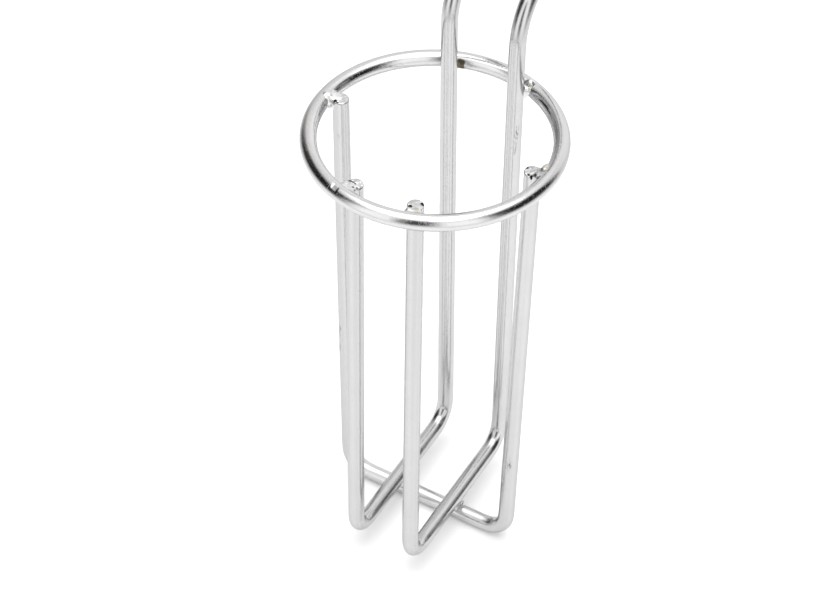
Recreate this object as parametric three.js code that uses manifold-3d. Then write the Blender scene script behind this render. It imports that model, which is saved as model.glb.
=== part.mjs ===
// Chrome wire holder: a ring collar carried by three rods bent up from a crossed base.
// The two long rods rise behind the ring and arch over backwards into a pair of hooks.
// Millimetres, +Z up. The origin is under the middle of the ring, on the underside of the
// cross rod, which is the level the holder stands on. -Y is the front, +Y the hooks' side.
import * as THREE from "three";
import { mergeVertices } from "three/addons/utils/BufferGeometryUtils.js";
import Module from "manifold-3d";

const wasm = await Module();
wasm.setup();

// ---- driving dimensions ----
const ROD_DIAMETER = 9.5;
const ROD_SIDES = 16;
const FIT_GAP = 0.3; // left between pieces that touch
const RING_RADIUS = 69; // to the middle of the rod
const RING_HEIGHT = 287.5;
const RING_STEPS = 72;
const RING_JOINT_ANGLE = 246.5; // degrees from +X, just beside the left front prong
const RING_JOINT_WIDTH = 1.2;
const RING_JOINT_STANDS_PROUD = 0.35;
const BEND_RADIUS = 13.5;
const BEND_STEPS = 8;
const HOOK_RADIUS = 31;
const HOOK_START_HEIGHT = 321;
const HOOK_STEPS = 16;
const HOOK_TAIL = 4;

// Each leg passes the ring at an angle and meets the base at its foot. The rods are bent and
// set by hand, so no two feet lie quite alike.
const LEGS = {
  frontLeft: { ringAngle: 251.8, foot: [-17.8, -53.5], endsAboveRing: 2 },
  frontRight: { ringAngle: 288.1, foot: [19.6, -56], endsAboveRing: 3.2 },
  rearLeft: { ringAngle: 110.7, foot: [-17.8, 58.3] },
  rearRight: { ringAngle: 69.7, foot: [19.6, 57.3] },
  left: { ringAngle: 179.3, foot: [-53.1, 2.2], endsAboveRing: 3.5 },
  right: { ringAngle: 0.6, foot: [55.1, -2.3], endsAboveRing: 1.3 },
};

// Weld beads: half sizes along the ring, across it and upwards
const RING_BEAD = [5, 3.2, 4.2];
const BASE_BEAD = [6, 6, 3];
const BEAD_SEGMENTS = [16, 10];

// ---- values that follow ----
const rodRadius = ROD_DIAMETER / 2;
const cornerRadius = rodRadius / Math.cos(Math.PI / ROD_SIDES);
const crossRunHeight = rodRadius;
const longRunHeight = crossRunHeight + ROD_DIAMETER + FIT_GAP;
const legCircleRadius = RING_RADIUS - rodRadius - cornerRadius - FIT_GAP;
const X_AXIS = new THREE.Vector3(1, 0, 0);
const Y_AXIS = new THREE.Vector3(0, 1, 0);
const Z_AXIS = new THREE.Vector3(0, 0, 1);

// ---- rods: a round section swept along straights and bends ----

// A path given by its stations, so that straights take one step and bends take several.
// The section keeps one axis as near as it can to `across`, so the rod never twists.
class RodPath extends THREE.Curve {
  constructor(stations, across) {
    super();
    this.stations = stations;
    this.across = across;
  }

  getPointAt(u) {
    const index = Math.round(u * (this.stations.length - 1));
    return this.stations[index].point.clone();
  }

  computeFrenetFrames() {
    const tangents = this.stations.map((station) => station.tangent);
    const normals = tangents.map((tangent) =>
      this.across.clone().addScaledVector(tangent, -this.across.dot(tangent)).normalize());
    const binormals = tangents.map((tangent, i) => tangent.clone().cross(normals[i]));
    return { tangents, normals, binormals };
  }
}

// A many-sided section with a flat facing each of its own axes, rodRadius from the middle.
function rodSection(extraRadius) {
  const radius = (rodRadius + extraRadius) / Math.cos(Math.PI / ROD_SIDES);
  const corners = [];
  for (let i = 0; i < ROD_SIDES; i += 1) {
    const angle = ((i + 0.5) / ROD_SIDES) * 2 * Math.PI;
    corners.push(new THREE.Vector2(radius * Math.cos(angle), radius * Math.sin(angle)));
  }
  return new THREE.Shape(corners);
}

function sweepRod(stations, across, extraRadius = 0) {
  return new THREE.ExtrudeGeometry(rodSection(extraRadius), {
    steps: stations.length - 1,
    extrudePath: new RodPath(stations, across),
  });
}

function direction(from, to) {
  return to.clone().sub(from).normalize();
}

// The stations of a bend that turns from `incoming` to `outgoing`, starting at `start`.
function arcStations(start, incoming, outgoing, radius, angle, steps) {
  const sideways = outgoing.clone().addScaledVector(incoming, -outgoing.dot(incoming)).normalize();
  const stations = [];
  for (let i = 0; i <= steps; i += 1) {
    const turned = (i / steps) * angle;
    const point = start.clone()
      .addScaledVector(incoming, radius * Math.sin(turned))
      .addScaledVector(sideways, radius * (1 - Math.cos(turned)));
    const tangent = incoming.clone().multiplyScalar(Math.cos(turned))
      .addScaledVector(sideways, Math.sin(turned));
    stations.push({ point, tangent });
  }
  return stations;
}

function bendAtCorner(before, corner, after) {
  const incoming = direction(before, corner);
  const outgoing = direction(corner, after);
  const angle = incoming.angleTo(outgoing);
  const start = corner.clone().addScaledVector(incoming, -BEND_RADIUS * Math.tan(angle / 2));
  return arcStations(start, incoming, outgoing, BEND_RADIUS, angle, BEND_STEPS);
}

// Where a leg's middle line stands at a height: it passes its foot and its place in the ring.
function legPoint(leg, runHeight, height) {
  const angle = THREE.MathUtils.degToRad(leg.ringAngle);
  const atRing = new THREE.Vector3(
    legCircleRadius * Math.cos(angle), legCircleRadius * Math.sin(angle), RING_HEIGHT);
  const atFoot = new THREE.Vector3(leg.foot[0], leg.foot[1], runHeight);
  return atFoot.lerp(atRing, (height - runHeight) / (RING_HEIGHT - runHeight));
}

function prongStart(leg, runHeight, extraLength) {
  const foot = legPoint(leg, runHeight, runHeight);
  const point = legPoint(leg, runHeight, RING_HEIGHT + leg.endsAboveRing + extraLength);
  return { point, tangent: direction(point, foot) };
}

// A long rod: front prong, run along the base, rear upright, hook.
function longRodStations(front, rear, extraLength) {
  const prong = prongStart(front, longRunHeight, extraLength);
  const frontFoot = legPoint(front, longRunHeight, longRunHeight);
  const rearFoot = legPoint(rear, longRunHeight, longRunHeight);
  const hookStart = legPoint(rear, longRunHeight, HOOK_START_HEIGHT);
  const upward = direction(rearFoot, hookStart);
  const hook = arcStations(hookStart, upward, Y_AXIS, HOOK_RADIUS, Math.PI, HOOK_STEPS);
  const arcEnd = hook[hook.length - 1];
  const tailEnd = arcEnd.point.clone().addScaledVector(arcEnd.tangent, HOOK_TAIL + extraLength);
  return [
    prong,
    ...bendAtCorner(prong.point, frontFoot, rearFoot),
    ...bendAtCorner(frontFoot, rearFoot, hookStart),
    ...hook,
    { point: tailEnd, tangent: arcEnd.tangent },
  ];
}

// The cross rod: left prong, run under the long rods, right prong.
function crossRodStations(extraLength) {
  const leftProng = prongStart(LEGS.left, crossRunHeight, extraLength);
  const rightProng = prongStart(LEGS.right, crossRunHeight, extraLength);
  const leftFoot = legPoint(LEGS.left, crossRunHeight, crossRunHeight);
  const rightFoot = legPoint(LEGS.right, crossRunHeight, crossRunHeight);
  return [
    leftProng,
    ...bendAtCorner(leftProng.point, leftFoot, rightFoot),
    ...bendAtCorner(leftFoot, rightFoot, rightProng.point),
    { point: rightProng.point, tangent: rightProng.tangent.clone().negate() },
  ];
}

// Stations along the ring's middle circle, between two angles in radians.
function ringStations(from, to, steps) {
  const stations = [];
  for (let i = 0; i <= steps; i += 1) {
    const angle = from + ((to - from) * i) / steps;
    const point = new THREE.Vector3(
      RING_RADIUS * Math.cos(angle), RING_RADIUS * Math.sin(angle), RING_HEIGHT);
    const tangent = new THREE.Vector3(-Math.sin(angle), Math.cos(angle), 0);
    stations.push({ point, tangent });
  }
  return stations;
}

const ringJointAngle = THREE.MathUtils.degToRad(RING_JOINT_ANGLE);
const ringJointHalf = RING_JOINT_WIDTH / 2 / RING_RADIUS;
const ringEndHalf = (RING_JOINT_WIDTH / 2 + FIT_GAP) / RING_RADIUS;

function ringGeometry(extraRadius = 0) {
  const from = ringJointAngle + ringEndHalf;
  const to = ringJointAngle - ringEndHalf + 2 * Math.PI;
  return sweepRod(ringStations(from, to, RING_STEPS), Z_AXIS, extraRadius);
}

// The butt weld that closes the ring, dressed almost flush.
function ringJointGeometry() {
  const stations = ringStations(ringJointAngle - ringJointHalf, ringJointAngle + ringJointHalf, 1);
  return sweepRod(stations, Z_AXIS, RING_JOINT_STANDS_PROUD);
}

function leftRodGeometry(grow = 0) {
  return sweepRod(longRodStations(LEGS.frontLeft, LEGS.rearLeft, grow), X_AXIS, grow);
}

function rightRodGeometry(grow = 0) {
  return sweepRod(longRodStations(LEGS.frontRight, LEGS.rearRight, grow), X_AXIS, grow);
}

function crossRodGeometry(grow = 0) {
  return sweepRod(crossRodStations(grow), Y_AXIS, grow);
}

// ---- weld beads: a lump of weld metal, cut clear of the rods that it joins ----

function toSolid(geometry) {
  const bare = geometry.clone();
  bare.deleteAttribute("normal");
  bare.deleteAttribute("uv");
  const merged = mergeVertices(bare, 1e-4);
  return new wasm.Manifold(new wasm.Mesh({
    numProp: 3,
    vertProperties: merged.attributes.position.array,
    triVerts: new Uint32Array(merged.index.array),
  }));
}

function toGeometry(solid) {
  const { vertProperties, triVerts } = solid.getMesh();
  const geometry = new THREE.BufferGeometry();
  geometry.setAttribute("position", new THREE.BufferAttribute(vertProperties, 3));
  geometry.setIndex(new THREE.BufferAttribute(triVerts, 1));
  geometry.computeVertexNormals();
  return geometry;
}

function beadGeometry(centre, halfSizes, turn, neighbours) {
  const lump = new THREE.SphereGeometry(1, ...BEAD_SEGMENTS);
  lump.scale(...halfSizes);
  lump.rotateZ(turn);
  lump.translate(centre.x, centre.y, centre.z);
  return toGeometry(neighbours.reduce((solid, other) => solid.subtract(other), toSolid(lump)));
}

const grownRing = toSolid(ringGeometry(FIT_GAP));
const grownLeftRod = toSolid(leftRodGeometry(FIT_GAP));
const grownRightRod = toSolid(rightRodGeometry(FIT_GAP));
const grownCrossRod = toSolid(crossRodGeometry(FIT_GAP));

function ringBead(leg, rod) {
  const angle = THREE.MathUtils.degToRad(leg.ringAngle);
  const touchRadius = legCircleRadius + cornerRadius;
  const centre = new THREE.Vector3(
    touchRadius * Math.cos(angle), touchRadius * Math.sin(angle), RING_HEIGHT);
  return beadGeometry(centre, RING_BEAD, angle + Math.PI / 2, [grownRing, rod]);
}

// The crossing of a long rod's run over the cross rod's run, seen from above.
function runCrossing(front, rear) {
  const [frontFoot, rearFoot, leftFoot, rightFoot] = [front, rear, LEGS.left, LEGS.right]
    .map((leg) => new THREE.Vector2(...leg.foot));
  const longRun = rearFoot.clone().sub(frontFoot);
  const crossRun = rightFoot.sub(leftFoot);
  const share = leftFoot.sub(frontFoot).cross(crossRun) / longRun.cross(crossRun);
  return frontFoot.addScaledVector(longRun, share);
}

function baseBead(front, rear, rod) {
  const crossing = runCrossing(front, rear);
  const centre = new THREE.Vector3(crossing.x, crossing.y, ROD_DIAMETER + FIT_GAP / 2);
  return beadGeometry(centre, BASE_BEAD, 0, [grownCrossRod, rod]);
}

// ---- the assembly ----

function chrome(color, roughness) {
  return new THREE.MeshStandardMaterial({ color, roughness, metalness: 1 });
}

const holder = new THREE.Group();

function addPart(name, geometry, material) {
  const mesh = new THREE.Mesh(geometry, material);
  mesh.name = name;
  holder.add(mesh);
}

addPart("ring_collar", ringGeometry(), chrome(0xd9dadb, 0.12));
addPart("ring_joint_weld", ringJointGeometry(), chrome(0xc4c3c0, 0.35));
addPart("left_long_rod", leftRodGeometry(), chrome(0xd6d7d8, 0.16));
addPart("right_long_rod", rightRodGeometry(), chrome(0xd6d7d8, 0.16));
addPart("cross_rod", crossRodGeometry(), chrome(0xd6d7d8, 0.16));

const ringWelds = [
  ["weld_front_left_prong", LEGS.frontLeft, grownLeftRod],
  ["weld_front_right_prong", LEGS.frontRight, grownRightRod],
  ["weld_rear_left_upright", LEGS.rearLeft, grownLeftRod],
  ["weld_rear_right_upright", LEGS.rearRight, grownRightRod],
  ["weld_left_prong", LEGS.left, grownCrossRod],
  ["weld_right_prong", LEGS.right, grownCrossRod],
];
for (const [name, leg, rod] of ringWelds) {
  addPart(name, ringBead(leg, rod), chrome(0xc8c6c0, 0.38));
}

addPart("weld_base_left", baseBead(LEGS.frontLeft, LEGS.rearLeft, grownLeftRod),
  chrome(0xc8c6c0, 0.38));
addPart("weld_base_right", baseBead(LEGS.frontRight, LEGS.rearRight, grownRightRod),
  chrome(0xc8c6c0, 0.38));

export default holder;
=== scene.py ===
"""Looks for the chrome wire stand: smooth bent rods, a ring collar and weld beads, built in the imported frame.

Lengths are in metres. +Z is up, -Y is the front, and the hooks point to +Y.
"""

import math
import random

import bpy
import numpy as np
from mathutils import Matrix, Vector


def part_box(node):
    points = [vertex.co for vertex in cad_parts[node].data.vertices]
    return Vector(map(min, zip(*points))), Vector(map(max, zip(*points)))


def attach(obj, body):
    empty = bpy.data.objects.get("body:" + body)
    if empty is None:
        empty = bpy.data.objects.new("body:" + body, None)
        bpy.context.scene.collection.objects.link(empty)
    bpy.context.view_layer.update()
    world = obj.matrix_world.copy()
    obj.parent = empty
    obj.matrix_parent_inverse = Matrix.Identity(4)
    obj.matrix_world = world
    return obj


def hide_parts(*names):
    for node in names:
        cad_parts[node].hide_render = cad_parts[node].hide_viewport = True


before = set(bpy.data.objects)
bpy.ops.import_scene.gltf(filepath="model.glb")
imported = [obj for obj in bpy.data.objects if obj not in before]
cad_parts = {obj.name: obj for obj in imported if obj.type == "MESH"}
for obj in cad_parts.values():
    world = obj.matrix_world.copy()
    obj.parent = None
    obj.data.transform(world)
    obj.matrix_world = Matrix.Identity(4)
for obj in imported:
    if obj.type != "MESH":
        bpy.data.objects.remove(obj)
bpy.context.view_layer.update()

MM = 0.001
BODY = "root"

# ---- measures taken from the frame ----
ring_low, ring_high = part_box("ring_collar")
ROD_RADIUS = (ring_high.z - ring_low.z) / 2
RING_HEIGHT = (ring_high.z + ring_low.z) / 2
RING_RADIUS = (ring_high.x - ring_low.x) / 2 - ROD_RADIUS
CROSS_RUN_HEIGHT = ROD_RADIUS
LONG_RUN_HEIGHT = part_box("left_long_rod")[0].z + ROD_RADIUS

# ---- the bends and legs, as the CAD part has them ----
FIT_GAP = 0.3 * MM
BEND_RADIUS = 13.5 * MM
HOOK_RADIUS = 31 * MM
HOOK_START_HEIGHT = 321 * MM
HOOK_TAIL = 4 * MM
CAD_ROD_SIDES = 16
CAD_CORNER_RADIUS = ROD_RADIUS / math.cos(math.pi / CAD_ROD_SIDES)
LEG_CIRCLE_RADIUS = RING_RADIUS - ROD_RADIUS - CAD_CORNER_RADIUS - FIT_GAP
RING_JOINT_ANGLE = math.radians(246.5)


class Leg:
    """A straight leg: where it passes the ring, where it would meet the base, and where its prong ends."""

    def __init__(self, ring_angle, foot, run_height, ends_above_ring=None):
        self.angle = math.radians(ring_angle)
        self.foot = Vector((foot[0] * MM, foot[1] * MM, run_height))
        self.at_ring = Vector((LEG_CIRCLE_RADIUS * math.cos(self.angle),
                               LEG_CIRCLE_RADIUS * math.sin(self.angle), RING_HEIGHT))
        self.is_prong = ends_above_ring is not None
        self.top_height = RING_HEIGHT + (ends_above_ring or 0) * MM

    def point(self, height):
        return self.foot.lerp(self.at_ring, (height - self.foot.z) / (RING_HEIGHT - self.foot.z))

    def upward(self):
        return (self.at_ring - self.foot).normalized()


LEGS = {
    "front_left": Leg(251.8, (-17.8, -53.5), LONG_RUN_HEIGHT, 2),
    "front_right": Leg(288.1, (19.6, -56), LONG_RUN_HEIGHT, 3.2),
    "rear_left": Leg(110.7, (-17.8, 58.3), LONG_RUN_HEIGHT),
    "rear_right": Leg(69.7, (19.6, 57.3), LONG_RUN_HEIGHT),
    "left": Leg(179.3, (-53.1, 2.2), CROSS_RUN_HEIGHT, 3.5),
    "right": Leg(0.6, (55.1, -2.3), CROSS_RUN_HEIGHT, 1.3),
}

# ---- how fine the visual meshes are ----
AROUND = 48
PATH_STEP = 1 * MM
STRAIGHT_STEP = 3 * MM
RING_STEPS = 720
ARC_STEPS = 40
WELD_GRID = 0.36 * MM


# ---- rod paths: lists of (point, direction) stations ----

# How gently a bend runs out into its straights, and the most that the path turns between two stations
EASING = 3.2 * MM
MOST_TURN = math.radians(2.5)


def arc(start, incoming, outgoing, radius, angle):
    """Points round a bend that turns from incoming towards outgoing."""
    sideways = (outgoing - incoming * outgoing.dot(incoming)).normalized()
    turns = [angle * i / ARC_STEPS for i in range(ARC_STEPS + 1)]
    return [start + incoming * radius * math.sin(t) + sideways * radius * (1 - math.cos(t)) for t in turns]


def bend(before, corner, after):
    incoming = (corner - before).normalized()
    outgoing = (after - corner).normalized()
    angle = incoming.angle(outgoing)
    start = corner - incoming * BEND_RADIUS * math.tan(angle / 2)
    return arc(start, incoming, outgoing, BEND_RADIUS, angle)


def eased(points):
    """Stations along the points, with every bend run gently out into its straights, as a bender leaves it."""
    points = np.array([tuple(p) for p in points])
    lengths = np.concatenate([[0], np.cumsum(np.linalg.norm(np.diff(points, axis=0), axis=1))])
    even = np.linspace(0, lengths[-1], round(lengths[-1] / PATH_STEP) + 1)
    fine = np.stack([np.interp(even, lengths, points[:, i]) for i in range(3)], 1)
    reach = round(3 * EASING / PATH_STEP)
    weights = np.exp(-0.5 * (np.arange(-reach, reach + 1) * PATH_STEP / EASING) ** 2)
    before = 2 * fine[0] - fine[reach:0:-1]
    after = 2 * fine[-1] - fine[-2:-reach - 2:-1]
    padded = np.concatenate([before, fine, after])
    smooth = np.stack([np.convolve(padded[:, i], weights / weights.sum(), "valid") for i in range(3)], 1)
    steps = np.gradient(smooth, axis=0)
    stations = [(Vector(point), Vector(step).normalized()) for point, step in zip(smooth, steps)]
    return thinned(stations)


def thinned(stations):
    """The stations that the shape needs: close together in bends, and further apart on straights."""
    kept = [stations[0]]
    for point, direction in stations[1:-1]:
        if (point - kept[-1][0]).length > STRAIGHT_STEP or direction.angle(kept[-1][1]) > MOST_TURN:
            kept.append((point, direction))
    return kept + [stations[-1]]


def long_rod_path(front, rear):
    top = front.point(front.top_height)
    hook_start = rear.point(HOOK_START_HEIGHT)
    hook = arc(hook_start, rear.upward(), Vector((0, 1, 0)), HOOK_RADIUS, math.pi)
    tail = hook[-1] - rear.upward() * HOOK_TAIL
    front_bend = bend(top, front.foot, rear.foot)
    rear_bend = bend(front.foot, rear.foot, hook_start)
    return eased([top, *front_bend, *rear_bend, *hook, tail])


def cross_rod_path(left, right):
    left_top = left.point(left.top_height)
    right_top = right.point(right.top_height)
    return eased([left_top, *bend(left_top, left.foot, right.foot), *bend(left.foot, right.foot, right_top),
                  right_top])


def ring_path(start_angle, end_angle, steps):
    angles = [start_angle + (end_angle - start_angle) * i / steps for i in range(steps + 1)]
    return [(Vector((RING_RADIUS * math.cos(a), RING_RADIUS * math.sin(a), RING_HEIGHT)),
             Vector((-math.sin(a), math.cos(a), 0))) for a in angles]


# ---- meshes ----

# A cropped end: each loop's distance back from the end and its share of the rod's radius, rim first
CROPPED_END = [(2.4 * MM, 1.0), (1.6 * MM, 1.0), (1.0 * MM, 0.998), (0.55 * MM, 0.985), (0.25 * MM, 0.955),
               (0.08 * MM, 0.91), (0.0, 0.85), (0.0, 0.76), (0.0, 0.66), (0.0, 0.55), (0.0, 0.43),
               (0.0, 0.30), (0.0, 0.15)]
CROP_DEPTH = CROPPED_END[0][0]


def loop_of_points(point, first, second, radius):
    angles = [2 * math.pi * k / AROUND for k in range(AROUND)]
    return [point + (first * math.cos(a) + second * math.sin(a)) * radius for a in angles]


def section_axes(direction, across):
    first = (across - direction * across.dot(direction)).normalized()
    return first, direction.cross(first)


# Nicks that the croppers left in the prongs' ends: (x, y, size), as shares of the rod's radius
END_NICKS = {
    "front_left": [(-0.85, 0.02, 0.13), (-0.60, 0.16, 0.13), (-0.30, 0.16, 0.12), (0.05, 0.02, 0.10),
                   (0.17, -0.76, 0.13), (0.58, -0.55, 0.10)],
    "front_right": [(-0.34, -0.66, 0.20), (-0.44, -0.50, 0.16), (0.54, 0.55, 0.15), (0.72, 0.42, 0.12)],
    "left": [(-0.31, -0.72, 0.16), (0.02, -0.84, 0.10)],
    "right": [(-0.82, 0.22, 0.14), (-0.10, -0.76, 0.10), (0.62, -0.62, 0.13), (0.30, -0.90, 0.12)],
    "hook": [(0.45, 0.50, 0.14), (-0.62, 0.20, 0.12)],
}
# Depths on a cropped end, as shares of the rod's radius
NICK_DEPTH = 0.10
TEAR_DEPTH = 0.014
FACE_DEPTH = 0.028
RIDGE_OFFSET = 0.2


class CroppedFace:
    """How far a sheared end lies below its highest point: two facets that meet, tears and nicks."""

    def __init__(self, seed, nicks):
        draw = random.Random(seed)
        self.ridge = draw.uniform(0, math.pi)
        self.slopes = (draw.uniform(0.02, 0.05), draw.uniform(0.06, 0.12))
        self.phases = [draw.uniform(0, 2 * math.pi) for _ in range(4)]
        self.nicks = nicks

    def depth(self, x, y):
        """x and y are shares of the rod's radius, along the frame's own axes."""
        across = x * math.cos(self.ridge) + y * math.sin(self.ridge) - RIDGE_OFFSET
        facet = self.slopes[0] * max(0, across) - self.slopes[1] * min(0, across)
        tears = TEAR_DEPTH * (math.sin(9 * x + self.phases[0]) * math.sin(8 * y + self.phases[1])
                              + math.sin(17 * x + self.phases[2]) * math.sin(15 * y + self.phases[3]))
        nicks = sum(math.exp(-((x - nick_x) ** 2 + (y - nick_y) ** 2) / size ** 2)
                    for nick_x, nick_y, size in self.nicks)
        return ROD_RADIUS * (facet + FACE_DEPTH + tears + NICK_DEPTH * nicks)


def end_loops(point, outward, across, face):
    """Loops that close a rod's end, from the rim to the middle of the cropped face."""
    loops = []
    for inset, share in CROPPED_END:
        strength = 1 - inset / CROP_DEPTH
        loop = []
        for base in loop_of_points(point, *section_axes(outward, across), ROD_RADIUS * share):
            place = (base - point) / ROD_RADIUS
            loop.append(base - outward * (inset + strength * face.depth(place.x, place.y)))
        loops.append(loop)
    return loops


def mesh_from_loops(name, loops, closed=False):
    """A tube skin over loops of points, joined end to end or closed by a fan at either end."""
    around = len(loops[0])
    points = [p for loop in loops for p in loop]
    faces = []
    for i in range(len(loops) if closed else len(loops) - 1):
        here = i * around
        there = ((i + 1) % len(loops)) * around
        for k in range(around):
            n = (k + 1) % around
            faces.append((here + k, here + n, there + n, there + k))
    if not closed:
        for base, flip in ((0, True), ((len(loops) - 1) * around, False)):
            middle = len(points)
            points.append(sum((points[base + k] for k in range(around)), Vector()) / around)
            for k in range(around):
                edge = (base + k, base + (k + 1) % around)
                faces.append((*(edge[::-1] if flip else edge), middle))
    mesh = bpy.data.meshes.new(name)
    mesh.from_pydata([tuple(p) for p in points], [], faces)
    return finish_mesh(mesh)


def finish_mesh(mesh):
    mesh.polygons.foreach_set("use_smooth", [True] * len(mesh.polygons))
    mesh.update()
    piece = bpy.data.objects.new(mesh.name, mesh)
    bpy.context.scene.collection.objects.link(piece)
    return piece


def write_attribute(piece, name, kind, values):
    field = "vector" if kind == "FLOAT_VECTOR" else "value"
    attribute = piece.data.attributes.new(name, kind, "POINT")
    attribute.data.foreach_set(field, np.asarray(values, np.float32).ravel())


def positions(piece):
    flat = np.empty(len(piece.data.vertices) * 3, np.float32)
    piece.data.vertices.foreach_get("co", flat)
    return flat.reshape(-1, 3).astype(float)


def rod_coordinates(piece, path, across):
    """Every point's place in the rod's own frame: two across the section, and the length along the path."""
    stations = np.array([tuple(p) for p, _ in path])
    directions = np.array([tuple(d) for _, d in path])
    firsts = np.array([tuple(section_axes(d, across)[0]) for _, d in path])
    lengths = np.concatenate([[0], np.cumsum(np.linalg.norm(np.diff(stations, axis=0), axis=1))])
    points = positions(piece)
    values = np.empty((len(points), 3))
    for start in range(0, len(points), 4000):
        chunk = points[start:start + 4000]
        nearest = ((chunk[:, None] - stations[None]) ** 2).sum(2).argmin(1)
        offset = chunk - stations[nearest]
        direction = directions[nearest]
        first = firsts[nearest]
        along = (offset * direction).sum(1)
        values[start:start + 4000, 0] = (offset * first).sum(1)
        values[start:start + 4000, 1] = (offset * np.cross(direction, first)).sum(1)
        values[start:start + 4000, 2] = lengths[nearest] + along
    write_attribute(piece, "rod_coords", "FLOAT_VECTOR", values)


def sweep_open(name, path, across, ends):
    """A round rod with two sheared ends, each named in END_NICKS."""
    start, end = path[0], path[-1]
    loops = [loop_of_points(p, *section_axes(d, across), ROD_RADIUS) for p, d in path
             if min((p - start[0]).length, (p - end[0]).length) > CROP_DEPTH * 1.1]
    first_face, last_face = (CroppedFace(end_name, END_NICKS[end_name]) for end_name in ends)
    first_end = end_loops(start[0], -start[1], across, first_face)
    turned = [[loop[0]] + loop[:0:-1] for loop in first_end]
    last_end = end_loops(end[0], end[1], across, last_face)
    piece = mesh_from_loops(name, turned[::-1] + loops + last_end)
    rod_coordinates(piece, path, across)
    return piece


# The flat that was ground on the ring beside its joint, to dress the weld
GROUND_FLAT_ANGLE = math.radians(249.6)
GROUND_FLAT_TILT = math.radians(62)
GROUND_FLAT_HALF_LENGTH = 2.2 * MM
GROUND_FLAT_DEPTH = ROD_RADIUS * 0.93
GROUND_FLAT_OUTWARD = Vector((math.cos(GROUND_FLAT_ANGLE), math.sin(GROUND_FLAT_ANGLE), 0))
GROUND_FLAT_MIDDLE = GROUND_FLAT_OUTWARD * RING_RADIUS + Vector((0, 0, RING_HEIGHT))
GROUND_FLAT_FACING = (GROUND_FLAT_OUTWARD * math.cos(GROUND_FLAT_TILT)
                      + Vector((0, 0, math.sin(GROUND_FLAT_TILT))))
GROUND_FLAT_ALONG = Vector((-GROUND_FLAT_OUTWARD.y, GROUND_FLAT_OUTWARD.x, 0))


def sweep_ring(name):
    path = ring_path(0, 2 * math.pi, RING_STEPS)
    up = Vector((0, 0, 1))
    loops = [loop_of_points(p, *section_axes(d, up), ROD_RADIUS) for p, d in path[:-1]]
    for point in (point for loop in loops for point in loop):
        below = GROUND_FLAT_DEPTH - (point - GROUND_FLAT_MIDDLE).dot(GROUND_FLAT_FACING)
        beside = (point - GROUND_FLAT_MIDDLE).dot(GROUND_FLAT_ALONG)
        if abs(beside) < GROUND_FLAT_HALF_LENGTH and below < 0:
            point += GROUND_FLAT_FACING * below
    piece = mesh_from_loops(name, loops, closed=True)
    rod_coordinates(piece, path, up)
    return piece


def surface_net(name, field, low, high, step):
    """A closed mesh on the surface where field changes sign, negative inside."""
    axes = [np.arange(low[i], high[i] + step, step) for i in range(3)]
    grid = np.stack(np.meshgrid(*axes, indexing="ij"), -1)
    values = field(grid)
    inside = values < 0
    cells = np.array(values.shape) - 1
    total = np.zeros((*cells, 3))
    count = np.zeros(cells, int)
    crossings = []
    for axis in range(3):
        others = [a for a in range(3) if a != axis]
        near = [slice(None)] * 3
        near[axis] = slice(None, -1)
        far = [slice(None)] * 3
        far[axis] = slice(1, None)
        near, far = tuple(near), tuple(far)
        cross = inside[near] != inside[far]
        for other in others:
            edge = [slice(None)] * 3
            edge[other] = [0, -1]
            cross[tuple(edge)] = False
        where = np.argwhere(cross)
        a = values[near][cross]
        b = values[far][cross]
        place = grid[near][cross].copy()
        place[:, axis] += step * a / (a - b)
        crossings.append((axis, others, where, inside[near][cross]))
        for first in (0, 1):
            for second in (0, 1):
                cell = where.copy()
                cell[:, others[0]] -= first
                cell[:, others[1]] -= second
                index = tuple(cell.T)
                np.add.at(total, index, place)
                np.add.at(count, index, 1)
    used = count > 0
    number = np.full(cells, -1)
    number[used] = np.arange(used.sum())
    points = total[used] / count[used][:, None]
    faces = []
    for axis, others, where, starts_inside in crossings:
        corners = []
        for first, second in ((0, 0), (1, 0), (1, 1), (0, 1)):
            cell = where.copy()
            cell[:, others[0]] -= first
            cell[:, others[1]] -= second
            corners.append(number[tuple(cell.T)])
        quads = np.stack(corners, 1)
        flip = starts_inside == (axis == 1)
        quads[flip] = quads[flip][:, ::-1]
        faces.append(quads)
    mesh = bpy.data.meshes.new(name)
    mesh.from_pydata(points.tolist(), [], np.concatenate(faces).tolist())
    return finish_mesh(mesh)


# ---- distances, negative inside, for shaping the welds ----

def ring_distance(p):
    return np.hypot(np.hypot(p[..., 0], p[..., 1]) - RING_RADIUS, p[..., 2] - RING_HEIGHT) - ROD_RADIUS


def rod_distance(p, origin, direction, ends_here=False):
    offset = p - np.array(origin)
    along = offset @ np.array(direction)
    radial = np.linalg.norm(offset - along[..., None] * np.array(direction), axis=-1) - ROD_RADIUS
    return np.maximum(radial, along) if ends_here else radial


def blend_distances(a, b, reach):
    share = np.clip(0.5 + 0.5 * (b - a) / reach, 0, 1)
    return b * (1 - share) + a * share - reach * share * (1 - share)


def ripples(p, seed, size, waves=9):
    """Smooth, repeatable unevenness of about one unit, with hollows roughly `size` apart."""
    draw = random.Random(seed)
    total = np.zeros(p.shape[:-1])
    for _ in range(waves):
        turn = np.array([draw.gauss(0, 1) for _ in range(3)])
        turn *= 2 * math.pi / (size * draw.uniform(0.7, 1.6) * np.linalg.norm(turn))
        total += np.sin(p @ turn + draw.uniform(0, 2 * math.pi))
    return total / math.sqrt(waves)


# A weld: filler drawn into the crevice between two rods, thickest in the middle, with lumps on it
WELD_REACH = 7.2 * MM
WELD_THICKNESS = 0.55 * MM
WELD_FILLET = 3.2 * MM
WELD_SINK = 0.7 * MM
WELD_RIPPLE = 0.11 * MM
WELD_EDGE = 9.0 * MM
WELD_RIPPLE_SIZE = 3.2 * MM
LUMP_FILLET = 1.3 * MM


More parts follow.
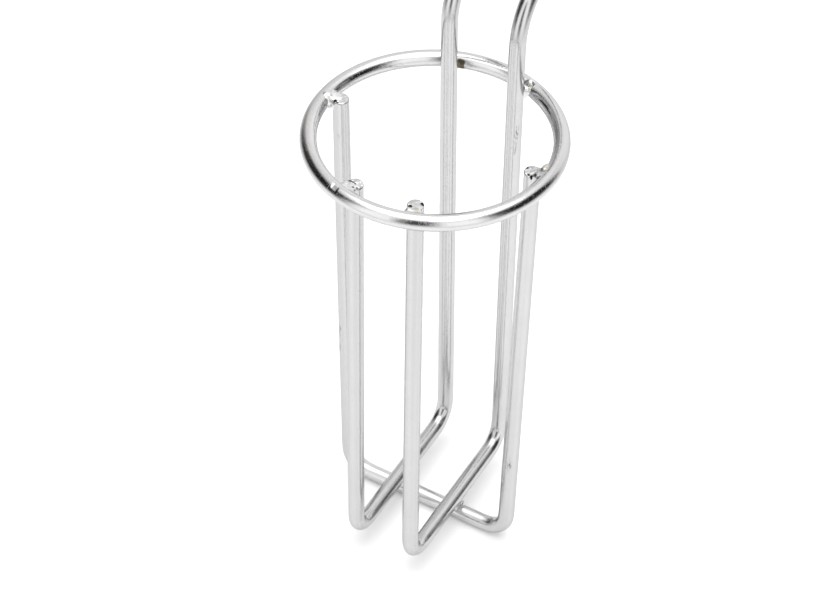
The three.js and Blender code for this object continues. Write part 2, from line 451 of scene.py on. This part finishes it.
def weld_piece(name, centre, distances, lumps, axes, seed):
    """lumps are (offset along the three axes, radius) in millimetres."""
    middle = np.array(centre)
    balls = [(middle + sum(np.array(axis) * value * MM for axis, value in zip(axes, offset)), radius * MM)
             for offset, radius in lumps]

    def field(p):
        away = np.linalg.norm(p - middle, axis=-1)
        first, second = (distance(p) for distance in distances)
        filler = blend_distances(first, second, WELD_FILLET)
        thickness = WELD_THICKNESS * (1 - (away / (0.72 * WELD_REACH)) ** 2)
        ripple = WELD_RIPPLE * ripples(p, seed, WELD_RIPPLE_SIZE) * (away < WELD_REACH)
        surface = filler - np.maximum(thickness, -WELD_SINK) - ripple
        for ball, radius in balls:
            lump = np.linalg.norm(p - ball, axis=-1) - radius
            surface = blend_distances(surface, lump, LUMP_FILLET)
        return np.maximum(surface, away - WELD_EDGE)

    span = WELD_EDGE + 2 * WELD_GRID
    piece = surface_net(name, field, middle - span, middle + span, WELD_GRID)
    write_attribute(piece, "rod_coords", "FLOAT_VECTOR", positions(piece))
    return piece


# ---- materials ----

# Colours of the metal, and what a metal mirrors at its edges as a share of white
CHROME_TINT = (0.635, 0.634, 0.642)
EDGE_TINT = (0.76, 0.76, 0.76, 1)
BARE_METAL = (0.150, 0.135, 0.095)
SCUFF_TONE = (0.17, 0.165, 0.15)
# Painted shade: the next colour is a near-black laid in the hollows of the cut ends' nicks and in a spot on the
# right prong below the ring.
PIT_SHADE_TONE = (0.012, 0.010, 0.008)
STAIN_TONE = (0.56, 0.53, 0.45)
SPATTER_TONE = (0.16, 0.14, 0.11)


class Nodes:
    """Short ways to add linked nodes to a material."""

    def __init__(self, name):
        self.material = bpy.data.materials.new(name)
        self.material.use_nodes = True
        self.tree = self.material.node_tree
        self.shader = self.tree.nodes["Principled BSDF"]

    def add(self, kind, settings=(), **inputs):
        node = self.tree.nodes.new(kind)
        for key, value in dict(settings).items():
            setattr(node, key, value)
        for key, value in inputs.items():
            self.set(node, key.replace("_", " "), value)
        return node

    def set(self, node, socket, value):
        target = node.inputs[int(socket)] if socket.isdigit() else node.inputs[socket]
        if isinstance(value, bpy.types.NodeSocket):
            self.tree.links.new(value, target)
        else:
            target.default_value = value

    def math(self, operation, *values):
        node = self.add("ShaderNodeMath", {"operation": operation})
        for i, value in enumerate(values):
            self.set(node, str(i), value)
        return node.outputs[0]

    def attribute(self, name, output):
        return self.add("ShaderNodeAttribute", {"attribute_name": name}).outputs[output]

    def scaled(self, vector, factors):
        node = self.add("ShaderNodeVectorMath", {"operation": "MULTIPLY"})
        self.set(node, "0", vector)
        self.set(node, "1", factors)
        return node.outputs[0]

    def noise(self, vector, scale, detail=3.0, roughness=0.55):
        node = self.add("ShaderNodeTexNoise", Vector=vector, Scale=scale, Detail=detail, Roughness=roughness)
        return node.outputs[0]

    def remap(self, value, low, high, new_low=0.0, new_high=1.0):
        node = self.add("ShaderNodeMapRange", {"interpolation_type": "SMOOTHSTEP"})
        limits = {"From Min": low, "From Max": high, "To Min": new_low, "To Max": new_high}
        for socket, number in limits.items():
            node.inputs[socket].default_value = number
        self.set(node, "Value", value)
        return node.outputs[0]

    def mix_colour(self, share, first, second):
        node = self.add("ShaderNodeMix", {"data_type": "RGBA"})
        self.set(node, "0", share)
        self.set(node, "6", first if isinstance(first, bpy.types.NodeSocket) else (*first, 1))
        self.set(node, "7", second if isinstance(second, bpy.types.NodeSocket) else (*second, 1))
        return node.outputs[2]

    def bump(self, height, strength, distance, normal=None):
        node = self.add("ShaderNodeBump", Strength=strength, Distance=distance, Height=height)
        if normal is not None:
            self.set(node, "Normal", normal)
        return node.outputs[0]


def drawn_chrome(name, brightness, smoothness, grain, speckle):
    """Plated drawn wire: fine lines along the rod, a satin grain, faint waves, scuffs, bare patches, and
    painted shade in the pits.
    """
    n = Nodes(name)
    coords = n.attribute("rod_coords", "Vector")
    lines = n.noise(n.scaled(coords, (1, 1, 0.012)), 2600, 4.0, 0.6)
    broad_lines = n.noise(n.scaled(coords, (1, 1, 0.004)), 330, 0.5)
    satin = n.noise(coords, 1550, 1.5)
    waves = n.noise(n.scaled(coords, (1, 1, 0.35)), 55, 1.0)
    clouds = n.noise(coords, 90, 3.0)
    scratches = n.noise(n.scaled(coords, (1, 1, 0.22)), 1500, 2.0)
    scuff = n.math("MULTIPLY", n.attribute("scuff", "Fac"), n.remap(scratches, 0.44, 0.56))
    bare = n.remap(n.math("ADD", n.attribute("bare", "Fac"), n.math("MULTIPLY", n.noise(coords, 700), 0.35)),
                   0.52, 0.74)
    tint = [c * brightness for c in CHROME_TINT]
    tone = n.mix_colour(n.remap(broad_lines, 0.34, 0.66), [c * 0.92 for c in tint], [c * 1.04 for c in tint])
    tone = n.mix_colour(n.remap(clouds, 0.35, 0.7, 0.0, 0.35), tone, [c * 0.93 for c in tint])
    tone = n.mix_colour(scuff, tone, SCUFF_TONE)
    tone = n.mix_colour(bare, tone, BARE_METAL)
    # Painted shade: near-black where the pit mark lies, in the nicks' hollows and below the ring.
    tone = n.mix_colour(n.remap(n.attribute("pit_shade", "Fac"), 0.35, 0.75), tone, PIT_SHADE_TONE)
    gloss = n.math("ADD", n.remap(lines, 0.35, 0.65, smoothness * 0.8, smoothness * 1.25),
                   n.math("MULTIPLY", satin, 0.03))
    gloss = n.math("ADD", gloss, n.remap(satin, 0.57, 0.66, 0.0, speckle))
    gloss = n.math("ADD", gloss, n.math("MULTIPLY", n.math("MAXIMUM", scuff, bare), 0.28))
    normal = n.bump(waves, 0.35, 0.05 * MM)
    normal = n.bump(lines, 0.08, 0.010 * MM, normal)
    normal = n.bump(satin, grain, 0.055 * MM, normal)
    normal = n.bump(bare, 0.5, 0.12 * MM, normal)
    n.set(n.shader, "Base Color", tone)
    n.set(n.shader, "Roughness", gloss)
    n.set(n.shader, "Normal", normal)
    n.shader.inputs["Metallic"].default_value = 1.0
    n.shader.inputs["Specular Tint"].default_value = EDGE_TINT
    return n.material


def weld_chrome(name):
    """Plated weld metal: rippled, spotted with spatter, darker and rougher in its hollows, with painted shade
    where the pit marks reach it.
    """
    n = Nodes(name)
    coords = n.attribute("rod_coords", "Vector")
    puddle = n.noise(coords, 420, 3.0, 0.6)
    pits = n.remap(n.noise(coords, 1100, 2.0), 0.67, 0.73)
    stain = n.remap(n.noise(coords, 260, 2.0), 0.52, 0.68)
    tone = n.mix_colour(stain, [c * 1.12 for c in CHROME_TINT], STAIN_TONE)
    tone = n.mix_colour(pits, tone, SPATTER_TONE)
    tone = n.mix_colour(n.remap(n.attribute("bare", "Fac"), 0.35, 0.55), tone, BARE_METAL)
    # Painted shade: near-black where the pit marks reach the weld.
    tone = n.mix_colour(n.remap(n.attribute("pit_shade", "Fac"), 0.35, 0.75), tone, PIT_SHADE_TONE)
    normal = n.bump(puddle, 0.35, 0.10 * MM)
    normal = n.bump(pits, 0.6, -0.10 * MM, normal)
    n.set(n.shader, "Base Color", tone)
    n.set(n.shader, "Roughness", n.math("ADD", n.remap(puddle, 0.3, 0.7, 0.24, 0.38),
                                        n.math("MULTIPLY", pits, 0.3)))
    n.set(n.shader, "Normal", normal)
    n.shader.inputs["Metallic"].default_value = 1.0
    return n.material


# The floor fades out into the white room between these distances from the stand
FLOOR_HALF_WIDTH = 1.2
FLOOR_FADES = (0.35, 0.95)
FLOOR_LIFT = 0.14


def pale_floor():
    n = Nodes("pale_floor")
    coords = n.add("ShaderNodeTexCoord").outputs["Object"]
    tone = n.mix_colour(n.noise(coords, 14, 4.0), (0.945, 0.945, 0.945), (0.965, 0.965, 0.965))
    n.set(n.shader, "Base Color", tone)
    n.set(n.shader, "Normal", n.bump(n.noise(coords, 900, 2.0), 0.05, 0.2 * MM))
    n.shader.inputs["Roughness"].default_value = 0.65
    n.shader.inputs["Specular IOR Level"].default_value = 0.2
    n.shader.inputs["Emission Color"].default_value = (1, 1, 1, 1)
    n.shader.inputs["Emission Strength"].default_value = FLOOR_LIFT
    away = n.add("ShaderNodeVectorMath", {"operation": "LENGTH"})
    n.set(away, "0", coords)
    n.set(n.shader, "Alpha", n.remap(away.outputs["Value"], *FLOOR_FADES, 1.0, 0.0))
    return n.material


# ---- marks on the plating, and painted shade in the pits ----

def ring_point(angle_degrees, outward=0.0, up=0.0):
    """A point near the ring's rod, offset from its middle line by shares of the rod's radius."""
    angle = math.radians(angle_degrees)
    radius = RING_RADIUS + outward * ROD_RADIUS
    return Vector((radius * math.cos(angle), radius * math.sin(angle), RING_HEIGHT + up * ROD_RADIUS))


def leg_point(leg, height_mm, towards=(0, 0)):
    return LEGS[leg].point(height_mm * MM) + Vector((*towards, 0)) * ROD_RADIUS


# Marks on the plating, and spots of painted shade: (middle, half sizes along X, Y and Z)
ROUND = Vector((1, 1, 1))
TALL = Vector((1, 1, 3))
THIN = Vector((0.85, 0.85, 3.4))
SCUFFS = [
    (leg_point("rear_right", 262, (0.75, -0.65)), THIN * 1.3 * MM),
    (leg_point("rear_right", 251, (0.72, -0.7)), THIN * 0.9 * MM),
    (leg_point("right", 96, (-0.5, -0.85)), TALL * 0.9 * MM),
    (leg_point("right", 66, (0.3, -0.95)), TALL * 1.2 * MM),
    (leg_point("left", 118, (-0.5, -0.85)), TALL * 1.1 * MM),
    (leg_point("left", 104, (-0.6, -0.8)), TALL * 0.9 * MM),
    (leg_point("left", 268, (0.1, -1)), ROUND * 1.0 * MM),
]
BARE_PATCHES = [
    (ring_point(105.6, -0.95, 0.05), Vector((2.4, 4.5, 3.5)) * MM),
]
# Painted shade in each nick, a dark spot at the bottom of its hollow; its spread as a multiple of the nick's
# size
PIT_SHADE_SPREAD = 1.6
PIT_SHADES = [(LEGS[leg].point(LEGS[leg].top_height) + Vector((x, y, -NICK_DEPTH)) * ROD_RADIUS,
         TALL * size * PIT_SHADE_SPREAD * ROD_RADIUS)
        for leg, nicks in END_NICKS.items() if leg in LEGS for x, y, size in nicks]
# Painted shade on the right prong, a little below the ring
PIT_SHADES.append((leg_point("right", 279, (0.0, -1)), ROUND * 0.7 * MM))
# How square a mark's outline is: 2 is an oval
OVAL = 2
SQUARISH = 4
MARK_EDGE = 1.4


def write_marks(piece):
    """Attributes that are 1 in the middle of a mark and fall to 0 at its edge."""
    points = positions(piece)
    # The pit mark is painted shade, not a mark on the plating.
    kinds = (("scuff", SCUFFS, OVAL), ("bare", BARE_PATCHES, SQUARISH), ("pit_shade", PIT_SHADES, OVAL))
    for name, marks, squareness in kinds:
        strength = np.zeros(len(points))
        for middle, half_sizes in marks:
            offset = np.abs(points - np.array(middle)) / np.array(half_sizes)
            away = (offset ** squareness).sum(1) ** (1 / squareness)
            strength = np.maximum(strength, np.clip(MARK_EDGE - away, 0, 1))
        write_attribute(piece, name, "FLOAT", strength)


# ---- the object ----

def place(piece, node, slot, material):
    piece.data.materials.append(material)
    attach(piece, BODY)
    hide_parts(node)


rod_chrome = drawn_chrome("rod_chrome", 0.93, 0.20, 0.10, 0.05)
ring_chrome = drawn_chrome("ring_chrome", 1.0, 0.07, 0.55, 0.22)
weld_metal = weld_chrome("weld_metal")

X_AXIS = Vector((1, 0, 0))
Y_AXIS = Vector((0, 1, 0))
Z_AXIS = Vector((0, 0, 1))

left_path = long_rod_path(LEGS["front_left"], LEGS["rear_left"])
right_path = long_rod_path(LEGS["front_right"], LEGS["rear_right"])
cross_path = cross_rod_path(LEGS["left"], LEGS["right"])
rods = {
    "left_long_rod": (left_path, X_AXIS, ("front_left", "hook")),
    "right_long_rod": (right_path, X_AXIS, ("front_right", "hook")),
    "cross_rod": (cross_path, Y_AXIS, ("left", "right")),
}
for node, (path, across, ends) in rods.items():
    rod = sweep_open("smooth_" + node, path, across, ends)
    write_marks(rod)
    place(rod, node, "rod_chrome", rod_chrome)

ring = sweep_ring("smooth_ring_collar")
write_marks(ring)
place(ring, "ring_collar", "ring_chrome", ring_chrome)

# Lumps on each ring weld: (along the ring, outwards, up) from where rod and ring touch, and radius, in mm
RING_WELDS = {
    "weld_front_left_prong": ("front_left", 5, [((-2.6, -0.6, 1.2), 2.7), ((2.8, 0.2, 0.6), 2.0)]),
    "weld_front_right_prong": ("front_right", 7, [((-2.8, -0.2, 1.6), 2.3), ((3.0, 0.0, 0.8), 2.0)]),
    "weld_rear_left_upright": ("rear_left", 9, [((3.3, -0.6, 1.2), 1.6)]),
    "weld_rear_right_upright": ("rear_right", 13, [((-3.0, 3.4, 4.4), 2.9), ((-3.2, 0.4, 1.8), 2.5),
                                                   ((-2.8, -0.4, -1.4), 1.8), ((3.2, 0.0, 0.6), 1.7)]),
    "weld_left_prong": ("left", 17, [((1.6, 3.0, 2.2), 3.2), ((2.4, 0.2, 0.4), 2.5), ((-2.4, 0.8, 1.0), 2.2),
                                     ((5.0, -0.2, -0.4), 1.4)]),
    "weld_right_prong": ("right", 19, [((-2.6, -0.4, 1.0), 2.1), ((2.6, 1.0, 1.8), 2.5),
                                       ((5.2, 1.0, 1.6), 2.3), ((7.0, 0.8, 1.2), 1.7)]),
}
for node, (leg_name, seed, lumps) in RING_WELDS.items():
    leg = LEGS[leg_name]
    outward = Vector((math.cos(leg.angle), math.sin(leg.angle), 0))
    along = Z_AXIS.cross(outward)
    centre = leg.at_ring + outward * (ROD_RADIUS + FIT_GAP / 2)
    rod_top = leg.point(leg.top_height)

    def leg_distance(p, top=rod_top, leg=leg):
        return rod_distance(p, top, leg.upward(), ends_here=leg.is_prong)

    weld = weld_piece("bead_" + node, centre, (ring_distance, leg_distance), lumps,
                      (along, outward, Z_AXIS), seed)
    write_marks(weld)
    place(weld, node, "weld_metal", weld_metal)


def run_crossing(front, rear):
    """Where a long rod's run passes over the cross rod's run, seen from above."""
    long_run = (rear.foot - front.foot).to_2d()
    cross_run = (LEGS["right"].foot - LEGS["left"].foot).to_2d()
    apart = (LEGS["left"].foot - front.foot).to_2d()
    share = apart.cross(cross_run) / long_run.cross(cross_run)
    return front.foot.lerp(rear.foot, share), (rear.foot - front.foot).normalized()


cross_direction = (LEGS["right"].foot - LEGS["left"].foot).normalized()
BASE_WELDS = {
    "weld_base_left": ("front_left", "rear_left", 29, [((3.6, 2.8, 0.4), 1.5), ((-3.4, -3.0, 0.2), 1.5)]),
    "weld_base_right": ("front_right", "rear_right", 31, [((3.8, 2.6, 0.6), 1.7), ((3.2, -3.2, 0.2), 1.4)]),
}
for node, (front, rear, seed, lumps) in BASE_WELDS.items():
    over, run_direction = run_crossing(LEGS[front], LEGS[rear])
    centre = Vector((over.x, over.y, (LONG_RUN_HEIGHT + CROSS_RUN_HEIGHT) / 2))

    def upper(p, over=over, run_direction=run_direction):
        return rod_distance(p, over, run_direction)

    def lower(p):
        return rod_distance(p, LEGS["left"].foot, cross_direction)

    weld = weld_piece("bead_" + node, centre, (upper, lower), lumps, (X_AXIS, Y_AXIS, Z_AXIS), seed)
    write_marks(weld)
    place(weld, node, "weld_metal", weld_metal)


JOINT_HALF_WIDTH = 0.3 * MM
JOINT_STEPS = 14
JOINT_SWELL = 0.012 * MM
JOINT_EDGE_SINK = 0.03 * MM
JOINT_UNEVENNESS = 0.005 * MM


def ring_joint():
    """The ring's butt weld: a narrow, uneven band, dressed almost flush."""
    half = JOINT_HALF_WIDTH / RING_RADIUS
    loops = []
    path = ring_path(RING_JOINT_ANGLE - half, RING_JOINT_ANGLE + half, JOINT_STEPS)
    for i, (point, direction) in enumerate(path):
        share = abs(2 * i / JOINT_STEPS - 1)
        swell = JOINT_SWELL * (1 - share ** 3) - JOINT_EDGE_SINK * share ** 6
        loop = loop_of_points(point, *section_axes(direction, Z_AXIS), 1.0)
        ring_of_points = []
        for k, base in enumerate(loop):
            outward = base - point
            angle = 2 * math.pi * k / AROUND
            uneven = JOINT_UNEVENNESS * (math.sin(3 * angle + 1) + math.sin(7 * angle + 2) + math.sin(2 * i))
            ring_of_points.append(point + outward * (ROD_RADIUS + swell + uneven * (1 - share)))
        loops.append(ring_of_points)
    piece = mesh_from_loops("bead_ring_joint_weld", loops)
    write_attribute(piece, "rod_coords", "FLOAT_VECTOR", positions(piece))
    return piece


place(ring_joint(), "ring_joint_weld", "weld_metal", weld_metal)


# ---- studio ----

def make_floor():
    size = FLOOR_HALF_WIDTH
    corners = [(-size, -size, 0), (size, -size, 0), (size, size, 0), (-size, size, 0)]
    mesh = bpy.data.meshes.new("floor")
    mesh.from_pydata(corners, [], [(0, 1, 2, 3)])
    floor = bpy.data.objects.new("floor", mesh)
    bpy.context.scene.collection.objects.link(floor)
    floor.data.materials.append(pale_floor())


def make_camera(aim, azimuth, elevation, roll, distance, lens):
    azimuth, elevation = math.radians(azimuth), math.radians(elevation)
    back = Vector((math.sin(azimuth) * math.cos(elevation), -math.cos(azimuth) * math.cos(elevation),
                   math.sin(elevation)))
    camera = bpy.data.objects.new("camera", bpy.data.cameras.new("camera"))
    bpy.context.scene.collection.objects.link(camera)
    turn = (-back).to_track_quat("-Z", "Y").to_matrix().to_4x4()
    camera.matrix_world = Matrix.Translation(aim + back * distance) @ turn @ Matrix.Rotation(
        math.radians(roll), 4, "Z")
    camera.data.lens = lens
    bpy.context.scene.camera = camera


# The room as the chrome mirrors it, by compass direction from +X: bright walls to the front with a
# dark figure beside the camera, dark openings at either side and a dimmer wall behind
HORIZON = [(-180, 0.015), (-152, 0.015), (-143, 0.05), (-134, 0.34), (-126, 0.80), (-116, 0.98), (-98, 0.93),
           (-88, 0.30), (-79, 0.06), (-69, 0.08), (-61, 0.45), (-53, 0.94), (-32, 0.97), (-23, 0.78),
           (-15, 0.30), (-7, 0.06), (3, 0.015), (37, 0.02), (45, 0.22), (53, 0.68), (66, 0.78), (82, 0.84),
           (104, 0.78), (122, 0.70), (138, 0.58), (150, 0.30), (161, 0.10), (170, 0.03)]
ROOM_BRIGHTNESS = 1.5
BACKDROP_BRIGHTNESS = 1.02
# The floor's brightness far out, and the elevations in degrees where floor, wall and ceiling meet
FLOOR_GLOW = 0.70
FLOOR_ENDS = (-28, 10)
WALL_TOP = (28, 50)
WALL_TOP_SHADE = 0.82
CEILING = (36, 68)


def make_room():
    world = bpy.data.worlds.new("studio")
    bpy.context.scene.world = world
    world.use_nodes = True
    tree = world.node_tree
    links = tree.links

    def add(kind, **settings):
        node = tree.nodes.new(kind)
        for key, value in settings.items():
            setattr(node, key, value)
        return node

    direction = add("ShaderNodeSeparateXYZ")
    links.new(add("ShaderNodeTexCoord").outputs["Generated"], direction.inputs[0])
    compass = add("ShaderNodeMath", operation="ARCTAN2")
    links.new(direction.outputs["Y"], compass.inputs[0])
    links.new(direction.outputs["X"], compass.inputs[1])
    share = add("ShaderNodeMapRange")
    share.inputs["From Min"].default_value = -math.pi
    share.inputs["From Max"].default_value = math.pi
    links.new(compass.outputs[0], share.inputs["Value"])
    horizon = add("ShaderNodeValToRGB")
    ramp = horizon.color_ramp
    ramp.interpolation = "EASE"
    ramp.elements.remove(ramp.elements[1])
    for i, (degrees, level) in enumerate(HORIZON):
        place_on_ramp = (degrees + 180) / 360
        stop = ramp.elements.new(place_on_ramp) if i else ramp.elements[0]
        stop.position = place_on_ramp
        stop.color = (level, level * (0.94 + 0.06 * level), level * (0.90 + 0.10 * level), 1)
    links.new(share.outputs[0], horizon.inputs[0])
    height = add("ShaderNodeMath", operation="ARCSINE")
    links.new(direction.outputs["Z"], height.inputs[0])

    def over_height(limits, low=0.0, high=1.0):
        """A smooth change from low to high between two elevations, in degrees."""
        change = add("ShaderNodeMapRange", interpolation_type="SMOOTHSTEP")
        for socket, number in (("From Min", math.radians(limits[0])), ("From Max", math.radians(limits[1])),
                               ("To Min", low), ("To Max", high)):
            change.inputs[socket].default_value = number
        links.new(height.outputs[0], change.inputs["Value"])
        return change.outputs[0]

    def mixed(share, first, second):
        mix = add("ShaderNodeMix", data_type="RGBA")
        links.new(share, mix.inputs[0])
        for socket, value in ((6, first), (7, second)):
            if isinstance(value, bpy.types.NodeSocket):
                links.new(value, mix.inputs[socket])
            else:
                mix.inputs[socket].default_value = (value, value, value, 1)
        return mix.outputs[2]

    wall = add("ShaderNodeVectorMath", operation="MULTIPLY")
    links.new(horizon.outputs[0], wall.inputs[0])
    links.new(over_height(WALL_TOP, 1.0, WALL_TOP_SHADE), wall.inputs[1])
    room = mixed(over_height(FLOOR_ENDS), FLOOR_GLOW, wall.outputs[0])
    room = mixed(over_height(CEILING), room, 1.0)
    lit = tree.nodes["Background"]
    lit.inputs["Strength"].default_value = ROOM_BRIGHTNESS
    links.new(room, lit.inputs["Color"])
    seen = add("ShaderNodeBackground")
    seen.inputs["Color"].default_value = (1, 1, 1, 1)
    seen.inputs["Strength"].default_value = BACKDROP_BRIGHTNESS
    choose = add("ShaderNodeMixShader")
    links.new(add("ShaderNodeLightPath").outputs["Is Camera Ray"], choose.inputs[0])
    links.new(lit.outputs[0], choose.inputs[1])
    links.new(seen.outputs[0], choose.inputs[2])
    links.new(choose.outputs[0], tree.nodes["World Output"].inputs[0])


SOFTBOX_SIZE = 2.6
SOFTBOX_POWER = 32
SOFTBOX_PLACE = (0, 0.05, 2.9)


def make_softbox():
    light = bpy.data.lights.new("softbox", "AREA")
    light.shape = "RECTANGLE"
    light.size = SOFTBOX_SIZE
    light.size_y = SOFTBOX_SIZE
    light.energy = SOFTBOX_POWER
    softbox = bpy.data.objects.new("softbox", light)
    softbox.location = SOFTBOX_PLACE
    softbox.visible_camera = False
    bpy.context.scene.collection.objects.link(softbox)


make_floor()
make_room()
make_softbox()
make_camera(aim=Vector((-0.0033, -0.0069, 0.1709)), azimuth=27.495, elevation=43.238, roll=1.344,
            distance=1.843, lens=139.5)
bpy.context.scene.view_settings.view_transform = "Standard"
